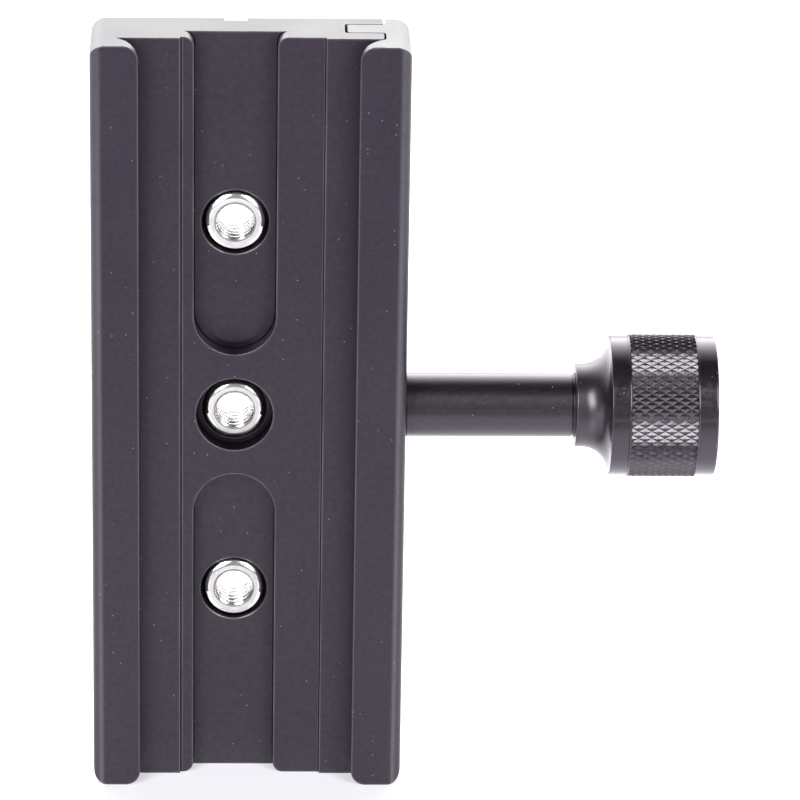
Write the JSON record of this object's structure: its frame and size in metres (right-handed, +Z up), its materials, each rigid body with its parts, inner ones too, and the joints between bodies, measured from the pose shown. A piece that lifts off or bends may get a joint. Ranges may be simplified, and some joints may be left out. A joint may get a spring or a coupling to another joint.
{
  "type": "dovetail quick release clamp",
  "caption": "Long screw-knob clamp with a milled dovetail channel for quick release plates, a sliding jaw and threaded bushings along its back for mounting.",
  "frame": {"origin": "on the axis of the centre thread, where the centre bushing ends in the back groove, at mid-length", "axes": "+Z up along the channel, +X across the channel towards the knob, +Y out of the mounting face; the channel opens towards -Y"},
  "size_m": [0.0922, 0.0212, 0.117],
  "materials": {
    "black_anodised": "bead blasted and black anodised, satin",
    "black_knob": "turned and black anodised, semi-gloss",
    "black_stem": "turned and blackened, semi-gloss",
    "bright_bushing": "turned stainless, bright",
    "steel": "ground steel",
    "spring_wire": "drawn wire"
  },
  "bodies": {
    "plate": {"base_plate": "black_anodised", "guide_pin_upper": "steel", "guide_pin_lower": "steel", "spring_upper": "spring_wire", "spring_lower": "spring_wire", "bushing_upper": "bright_bushing", "bushing_centre": "bright_bushing", "bushing_lower": "bright_bushing"},
    "jaw": {"moving_jaw": "black_anodised", "thrust_washer": "steel"},
    "knob": {"clamp_screw": "black_stem", "knob_head": "black_knob", "knob_screw": "black_stem"}
  },
  "joints": [
    {"name": "jaw_slide", "type": "slide", "parent": "plate", "child": "jaw", "axis": [1, 0, 0], "range_m": [0, 0.0045], "deforming": ["spring_upper", "spring_lower"]},
    {"name": "knob_turn", "type": "hinge", "parent": "jaw", "child": "knob", "pos_m": [0.03, -0.00345, 0], "axis": [1, 0, 0], "range_deg": [0, 1620]}
  ],
  "couplings": [
    {"joint": "knob_turn", "follows": "jaw_slide", "rad_per_m": 6283.2}
  ]
}
